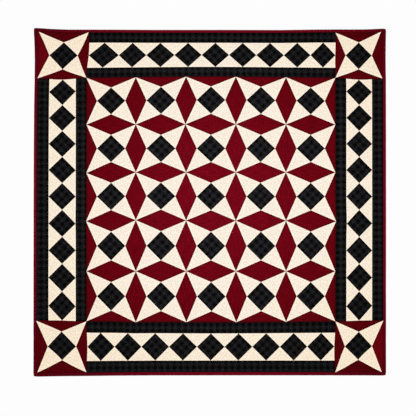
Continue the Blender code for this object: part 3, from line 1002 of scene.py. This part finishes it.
def away_from_middle(tree, reach):
    """From 0 near the hanging's middle, where the painted light is brightest, to 1 far from there."""
    place = add_node(tree, "TexCoord")
    flat = add_node(tree, "VectorMath", MULTIPLY, {0: place.outputs["Object"], 1: (1.0, 0.0, 1.0)})
    far = add_node(tree, "VectorMath", {"operation": "DISTANCE"}, {0: flat, 1: PAINTED_LIGHT_MIDDLE})
    return add_node(tree, "MapRange", SOFT_STEP,
                    {"Value": far.outputs["Value"], "From Min": reach[0], "From Max": reach[1]})


def deepened(tree, cloth, reach, near, far):
    """A cloth's colour, with one share of its lightness near the hanging's middle, and another far off."""
    share = add_node(tree, "MapRange", None,
                     {"Value": away_from_middle(tree, reach), "To Min": near, "To Max": far})
    return add_node(tree, "VectorMath", SCALE, {0: cloth, "Scale": share})


def thick_and_thin(tree, cloth, yarn, kind):
    """A cloth's colour, lighter where its yarn is thick and deeper where it is thin."""
    share = add_node(tree, "MapRange", SOFT_STEP,
                     {"Value": yarn, "From Min": 0.5 - kind.reach, "From Max": 0.5 + kind.reach,
                      "To Min": 1 - kind.spread, "To Max": 1 + kind.spread})
    return add_node(tree, "VectorMath", SCALE, {0: cloth, "Scale": share})


def fading_from_seam(tree, from_seam, start, end, near, far=0.0):
    """One value nearer to a seam than the start of a reach, another past its end, and softly between."""
    return add_node(tree, "MapRange", SOFT_STEP,
                    {"Value": from_seam, "From Min": start, "From Max": end, "To Min": near, "To Max": far})


def woven_cotton(name, colour_of, sizes, thread, seam):
    """A matt plain woven cotton, with its own colour and relief.

    The relief is that of its threads, of thick and thin yarn, of the allowance turned in behind each seam
    and of the gathers along the stitches. Beside each seam the colour is darkened as painted shade of the
    ditch, and in the muslin lightened as a painted highlight over its whiter allowance.
    """
    material, tree = new_material(name)
    fabric = add_node(tree, "UVMap", {"uv_map": FABRIC_MAP})
    from_seam = add_node(tree, "Attribute", {"attribute_name": SEAM_DISTANCE}).outputs["Fac"]
    yarn = streaks(tree, fabric, YARN_WIDTH, YARN_LENGTH)
    weave = weave_height(tree, fabric, thread)
    threads = add_node(tree, "Math", MULTIPLY, {0: weave, 1: THREAD_RELIEF})
    relief = add_node(tree, "Math", MULTIPLY_ADD, {0: yarn, 1: THREAD_RELIEF, 2: threads})
    ridge = fading_from_seam(tree, from_seam, sizes.seam_allowance - ALLOWANCE_EDGE,
                             sizes.seam_allowance + ALLOWANCE_EDGE, seam.lift)
    relief = add_node(tree, "Math", ADD, {0: relief, 1: ridge})
    gathers = add_node(tree, "TexNoise", FLAT_NOISE,
                       {"Vector": fabric, "Scale": 1 / GATHER_SIZE, "Detail": 1.0})
    near_seam = fading_from_seam(tree, from_seam, *GATHER_REACH, seam.gathers)
    relief = add_node(tree, "Math", MULTIPLY_ADD, {0: gathers, 1: near_seam, 2: relief})
    bump = add_node(tree, "Bump", None, {"Height": relief, "Distance": 1.0, "Strength": 1.0})
    # Painted shade of the ditch beside each seam, and in the muslin a painted highlight there
    shade = fading_from_seam(tree, from_seam, *SHADE_REACH, seam.shade, 1.0)
    colour = add_node(tree, "VectorMath", SCALE, {0: colour_of(tree, fabric, yarn), "Scale": shade})
    dress_surface(tree, colour, WOVEN_COTTON, bump)
    return material


def muslin(colours, sizes):
    # Unbleached cotton muslin, plain woven and pressed: a matt warm off-white with the tan slubs that
    # bleaching would take out, whiter over its turned-in allowance with a painted highlight there, and
    # painted darker and warmer towards the corners as shade where the light falls off
    def colour_of(tree, fabric, yarn):
        # Painted shade: the muslin darker and warmer away from the middle, where the light falls off
        cloth = add_node(tree, "MixRGB", None,
                         {"Fac": away_from_middle(tree, CREAM_PAINTED_FALLOFF), "Color1": rgba(colours.cream),
                          "Color2": rgba(colours.cream_edge)})
        slubbed = add_node(tree, "MixRGB", {"blend_type": "MULTIPLY"},
                           {"Fac": slubs_both_ways(tree, fabric), "Color1": cloth,
                            "Color2": rgba(colours.cream_slub)})
        return thick_and_thin(tree, slubbed, yarn, MUSLIN_YARN)

    return woven_cotton("unbleached_muslin", colour_of, sizes, MUSLIN_THREAD, MUSLIN_SEAM)


def dyed_cotton(name, colours, sizes, at_corners):
    # Piece-dyed dark red cotton, plain woven: matt and deep, paler and a little pinker where thick yarn took
    # less dye, painted lighter in the middle of the hanging with painted shade away from there, darker
    # beside each seam as painted shade of the ditch, and deepest at its corners
    def colour_of(tree, fabric, yarn):
        slubs = add_node(tree, "VectorMath", SCALE,
                         {0: tuple(colours.red_slub), "Scale": slubs_both_ways(tree, fabric)})
        slubbed = add_node(tree, "VectorMath", ADD, {0: tuple(colours.red), 1: slubs})
        # Painted light and shade: full red at the middle of the hanging, multiplied down away from there
        falloff_shade = add_node(tree, "MixRGB", None,
                        {"Fac": away_from_middle(tree, RED_PAINTED_FALLOFF), "Color1": (1.0, 1.0, 1.0, 1.0),
                         "Color2": rgba(colours.red_kept)})
        cloth = add_node(tree, "VectorMath", MULTIPLY, {0: slubbed, 1: falloff_shade})
        cloth = deepened(tree, cloth, CORNER_DEEPENING, 1.0, at_corners)
        return thick_and_thin(tree, cloth, yarn, RED_YARN)

    return woven_cotton(name, colour_of, sizes, MUSLIN_THREAD, RED_SEAM)


def homespun_check(colours, sizes):
    # Yarn-dyed homespun in black and charcoal: broad charcoal bands cross between narrow black ones in a
    # soft small check, darker where both are black, slubbed both ways, painted lighter in the middle of the
    # hanging with painted shade away from there, and darker beside each seam as painted shade of the ditch
    def colour_of(tree, fabric, yarn):
        apart = add_node(tree, "SeparateXYZ", None, {0: fabric})
        bands = []
        for axis in ("X", "Y"):
            turns = add_node(tree, "Math", MULTIPLY,
                             {0: apart.outputs[axis], 1: 2 * pi / sizes.check_pitch})
            wave = add_node(tree, "Math", SINE, {0: turns})
            bands.append(add_node(tree, "MapRange", SOFT_STEP,
                                  {"Value": wave, "From Min": CHECK_BANDS[0], "From Max": CHECK_BANDS[1]}))
        both = add_node(tree, "Math", ADD, {0: bands[0], 1: bands[1]})
        share = add_node(tree, "Math", MULTIPLY, {0: both, 1: 0.5})
        checked = add_node(tree, "MixRGB", None,
                           {"Fac": share, "Color1": rgba(colours.check_dark),
                            "Color2": rgba(colours.check_light)})
        slubs = add_node(tree, "MapRange", None,
                         {"Value": slubs_both_ways(tree, fabric), "To Min": CHECK_SLUBS[0],
                          "To Max": CHECK_SLUBS[1]})
        slubbed = add_node(tree, "VectorMath", SCALE, {0: checked, "Scale": slubs})
        # Painted shade away from the middle of the hanging, where the light falls off
        return deepened(tree, slubbed, CHECK_PAINTED_FALLOFF, 1.0, CHECK_PAINTED_SHADE)

    return woven_cotton("homespun_check", colour_of, sizes, HOMESPUN_THREAD, CHECK_SEAM)


def backing_muslin(colours, sizes):
    # Natural muslin in one width across the back, washed and unpressed: tan, slubbed, gathered in small
    # puckers along every line of quilting, and a little darker beside them as painted shade of the ditch
    def colour_of(tree, fabric, yarn):
        slubbed = add_node(tree, "MixRGB", None,
                           {"Fac": slubs_both_ways(tree, fabric), "Color1": rgba(colours.backing),
                            "Color2": rgba(colours.backing_slub)})
        return thick_and_thin(tree, slubbed, yarn, BACKING_YARN)

    return woven_cotton("backing_muslin", colour_of, sizes, MUSLIN_THREAD, BACKING_SEAM)


def binding_cotton(colours, sizes):
    # The same dark red cotton cut in strips and folded double: matt, its threads running along the strip,
    # and deeper towards the corners
    def colour_of(tree, fabric, yarn):
        cloth = deepened(tree, tuple(colours.binding), BINDING_DEEPENING, MID_BINDING, DEEPER_BINDING)
        return thick_and_thin(tree, cloth, yarn, BINDING_YARN)

    return woven_cotton("binding_red_cotton", colour_of, sizes, MUSLIN_THREAD, BINDING_SEAM)


def sewing_thread(name, colour):
    # Spun cotton sewing thread: matt, with the fine twist of its plies across it and painted shade in its
    # grooves
    material, tree = new_material(name)
    place = add_node(tree, "TexCoord")
    twist = add_node(tree, "TexNoise", None,
                     {"Vector": place.outputs["Object"], "Scale": 1 / TWIST_SIZE, "Detail": 1.0})
    # Painted shade in the grooves of the twist
    groove_painted_shade = rgba([part * TWIST_GROOVE_SHADE for part in colour])
    shade = add_node(tree, "MixRGB", None, {"Fac": twist, "Color1": groove_painted_shade, "Color2": rgba(colour)})
    bump = add_node(tree, "Bump", None, {"Height": twist, "Distance": TWIST_RELIEF, "Strength": 1.0})
    dress_surface(tree, shade, SPUN_COTTON, bump)
    return material


def painted_floor():
    # Emulsion painted board: pale and matt, with a faint roller stipple whose hollows are painted in shade
    material, tree = new_material("painted_floor")
    place = add_node(tree, "TexCoord")
    stipple = add_node(tree, "TexNoise", None,
                       {"Vector": place.outputs["Object"], "Scale": 1 / STIPPLE_SIZE, "Detail": 2.0})
    # Painted shade in the stipple's hollows, painted light on its raised points
    painted_hollow_shade, painted_raised_light = (rgba(linear(paint)) for paint in STIPPLE_SHADES)
    shade = add_node(tree, "MixRGB", None, {"Fac": stipple, "Color1": painted_hollow_shade, "Color2": painted_raised_light})
    dress_surface(tree, shade, EMULSION)
    return material


# Stage: floor, world, lights and camera

# Camera: how far in front it stands, what it looks at in X and Z, the width that it frames there, which is
# the photograph's, and its sensor in millimetres
CAMERA_DISTANCE = 6.0
CAMERA_AIM = (-0.0058, -0.5439)
FRAME_WIDTH = 1.2705
SENSOR = 36.0

# Floor: its level, and its corners from the left in front to the right behind
FLOOR_LEVEL = -1.6
FLOOR_FROM, FLOOR_TO = (-7.0, -8.0), (7.0, 3.0)

SURROUND = "#FDFDFD"
Light = namedtuple("Light", "name place size watts")
LIGHTS = (
    Light("key_softbox", (-1.7, -3.1, -0.2), 1.8, 22.5),
    Light("fill_softbox", (1.7, -3.1, -0.2), 1.8, 19.7),
    Light("back_softbox", (3.0, 1.9, 0.5), 0.9, 70.0),
)


def make_floor():
    """A plain pale floor below the hanging, which ends before the front view reaches it."""
    mesh = bpy.data.meshes.new("floor")
    (left, front), (right, back) = FLOOR_FROM, FLOOR_TO
    corners = ((left, front), (right, front), (right, back), (left, back))
    mesh.from_pydata([(x, y, FLOOR_LEVEL) for x, y in corners], [], [(0, 1, 2, 3)])
    mesh.materials.append(painted_floor())
    floor = bpy.data.objects.new("floor", mesh)
    bpy.context.scene.collection.objects.link(floor)


def make_lights():
    """Soft studio light: an even near-white surround, and softboxes that look at the hanging's middle."""
    world = bpy.data.worlds.new("studio")
    world.use_nodes = True
    surround = world.node_tree.nodes["Background"]
    surround.inputs["Color"].default_value = rgba(linear(SURROUND))
    surround.inputs["Strength"].default_value = 1.0
    bpy.context.scene.world = world
    middle = Vector((0.0, 0.0, CAMERA_AIM[1]))
    for row in LIGHTS:
        data = bpy.data.lights.new(row.name, "AREA")
        data.energy = row.watts
        data.size = row.size
        light = bpy.data.objects.new(row.name, data)
        light.location = row.place
        light.rotation_euler = (middle - light.location).to_track_quat("-Z", "Y").to_euler()
        bpy.context.scene.collection.objects.link(light)


def make_camera():
    """The camera square on to the hanging, at the photograph's framing."""
    data = bpy.data.cameras.new("camera")
    data.sensor_width = SENSOR
    data.lens = SENSOR * CAMERA_DISTANCE / FRAME_WIDTH
    camera = bpy.data.objects.new("camera", data)
    camera.location = (CAMERA_AIM[0], -CAMERA_DISTANCE, CAMERA_AIM[1])
    camera.rotation_euler = (radians(90), 0, 0)
    bpy.context.scene.collection.objects.link(camera)
    bpy.context.scene.camera = camera


# Add-on: properties, operators and panel


class HangingSizes(bpy.types.PropertyGroup):
    """Sizes of the hanging's padding, mesh, threads and stitches."""

    seam_step: FloatProperty(
        name="Mesh step", description="Spacing of mesh points along seams and binding",
        default=0.008, min=0.004, unit="LENGTH")
    padding_rise: FloatProperty(
        name="Padding", description="How far the middle of a large patch rises over its seams",
        default=0.0017, min=0.0, unit="LENGTH")
    padding_softness: FloatProperty(
        name="Padding softness", description="Distance from a seam in which most of the padding rises",
        default=0.006, min=0.001, unit="LENGTH")
    seam_allowance: FloatProperty(
        name="Seam allowance", description="Width of the cloth turned in behind each seam",
        default=0.0064, min=0.002, unit="LENGTH")
    check_pitch: FloatProperty(
        name="Check pitch", description="Repeat of the black check, one dark and one light band",
        default=0.0196, min=0.002, unit="LENGTH")
    stitch_length: FloatProperty(
        name="Stitch length", description="Length of one quilting stitch",
        default=0.0025, min=0.001, unit="LENGTH")
    stitch_gap: FloatProperty(
        name="Stitch gap", description="Gap between two quilting stitches",
        default=0.0008, min=0.0001, unit="LENGTH")
    thread_width: FloatProperty(
        name="Thread width", description="Width of a stitch",
        default=0.0003, min=0.0001, unit="LENGTH")
    hand_stitch_pitch: FloatProperty(
        name="Hand stitch pitch", description="Spacing of the stitches that hold the binding at the back",
        default=0.0040, min=0.001, unit="LENGTH")


class HangingColours(bpy.types.PropertyGroup):
    """Colours of the hanging's cloths and threads."""

    cream: FloatVectorProperty(
        name="Cream", description="Muslin of the star points", subtype="COLOR",
        default=linear("#EBE4D6"))
    # The muslin at the corners, darker and warmer as painted shade where the light falls off
    cream_edge: FloatVectorProperty(
        name="Cream at the corners", description="The muslin where it has yellowed", subtype="COLOR",
        default=linear("#E8DCC6"))
    cream_slub: FloatVectorProperty(
        name="Cream slub", description="What the muslin is multiplied by in its slubs", subtype="COLOR",
        default=linear("#E3D9D5"))
    red: FloatVectorProperty(
        name="Red", description="Dyed cotton of the side pieces", subtype="COLOR",
        default=linear("#5C020C"))
    red_slub: FloatVectorProperty(
        name="Red slub", description="What thick yarn adds to the red cotton", subtype="COLOR",
        default=linear("#400710"))
    # What the red is multiplied by away from the middle: painted shade where the light falls off
    red_kept: FloatVectorProperty(
        name="Red unfaded", description="What the red cotton is multiplied by where it has not faded",
        subtype="COLOR", default=linear("#DAB4BC"))
    check_dark: FloatVectorProperty(
        name="Check black", description="Dark yarn of the homespun check", subtype="COLOR",
        default=linear("#070708"))
    check_light: FloatVectorProperty(
        name="Check charcoal", description="Light yarn of the homespun check", subtype="COLOR",
        default=linear("#202022"))
    binding: FloatVectorProperty(
        name="Binding", description="Red of the binding", subtype="COLOR",
        default=linear("#5E0514"))
    backing: FloatVectorProperty(
        name="Backing", description="Muslin of the back", subtype="COLOR",
        default=linear("#C9BBA4"))
    backing_slub: FloatVectorProperty(
        name="Backing slub", description="Slubs in the backing", subtype="COLOR",
        default=linear("#BBAA90"))
    front_thread: FloatVectorProperty(
        name="Front thread", description="Quilting thread on the front", subtype="COLOR",
        default=linear("#7A1420"))
    back_thread: FloatVectorProperty(
        name="Back thread", description="Quilting thread on the back", subtype="COLOR",
        default=linear("#E4DAC8"))


class WALLHANGING_OT_sandwich(bpy.types.Operator):
    """Makes the pieced top, batting and backing as one quilted sheet"""

    bl_idname = "wallhanging.sandwich"
    bl_label = "Quilted sandwich"

    def execute(self, context):
        make_sandwich(context.scene.hanging_sizes, context.scene.hanging_colours)
        return {"FINISHED"}


class WALLHANGING_OT_quilting(bpy.types.Operator):
    """Sews the quilting stitches in the ditch of every seam, front and back"""

    bl_idname = "wallhanging.quilting"
    bl_label = "Quilting stitches"

    def execute(self, context):
        sizes, colours = context.scene.hanging_sizes, context.scene.hanging_colours
        dark = sewing_thread("dark_thread", colours.front_thread)
        ecru = sewing_thread("ecru_thread", colours.back_thread)
        make_ditch_stitches(-1, "ditch_stitches_front", sizes, dark)
        make_ditch_stitches(1, "ditch_stitches_back", sizes, ecru)
        return {"FINISHED"}


class WALLHANGING_OT_binding(bpy.types.Operator):
    """Folds the four strips of binding over the edge and sews them down at the back"""

    bl_idname = "wallhanging.binding"
    bl_label = "Binding"

    def execute(self, context):
        sizes, colours = context.scene.hanging_sizes, context.scene.hanging_colours
        cotton = binding_cotton(colours, sizes)
        for side in BINDING_WIDTHS:
            make_binding_strip(side, sizes, cotton)
        make_binding_stitches(sizes, sewing_thread("red_thread", colours.binding))
        return {"FINISHED"}


class WALLHANGING_OT_stage(bpy.types.Operator):
    """Sets the pale floor, the soft studio light and the camera"""

    bl_idname = "wallhanging.stage"
    bl_label = "Studio"

    def execute(self, context):
        context.scene.view_settings.view_transform = "Standard"
        make_floor()
        make_lights()
        make_camera()
        return {"FINISHED"}


OPERATORS = (WALLHANGING_OT_sandwich, WALLHANGING_OT_quilting, WALLHANGING_OT_binding, WALLHANGING_OT_stage)


class WALLHANGING_PT_pieces(bpy.types.Panel):
    """Lists the hanging's sizes, colours and pieces"""

    bl_label = "Quilted wall hanging"
    bl_idname = "WALLHANGING_PT_pieces"
    bl_space_type = "VIEW_3D"
    bl_region_type = "UI"
    bl_category = "Wall hanging"

    def draw(self, context):
        for group in (context.scene.hanging_sizes, context.scene.hanging_colours):
            box = self.layout.box()
            for name in group.bl_rna.properties.keys():
                if name not in ("rna_type", "name"):
                    box.prop(group, name)
        for operator in OPERATORS:
            self.layout.operator(operator.bl_idname)


CLASSES = (HangingSizes, HangingColours, *OPERATORS, WALLHANGING_PT_pieces)


def register():
    for each in CLASSES:
        bpy.utils.register_class(each)
    bpy.types.Scene.hanging_sizes = PointerProperty(type=HangingSizes)
    bpy.types.Scene.hanging_colours = PointerProperty(type=HangingColours)


def unregister():
    del bpy.types.Scene.hanging_colours
    del bpy.types.Scene.hanging_sizes
    for each in reversed(CLASSES):
        bpy.utils.unregister_class(each)


def declare_cloth():
    """Looks up the binding strips and the stitches that are sewn on the sandwich."""
    sewn_on = [bpy.data.objects["binding_fold_" + side] for side in BINDING_WIDTHS]
    names = ("ditch_stitches_front", "ditch_stitches_back", "binding_hand_stitches")
    sewn_on += [bpy.data.objects[name] for name in names]


def main():
    register()
    bpy.ops.wallhanging.sandwich()
    bpy.ops.wallhanging.quilting()
    bpy.ops.wallhanging.binding()
    bpy.ops.wallhanging.stage()
    declare_cloth()


if __name__ == "__main__":
    main()
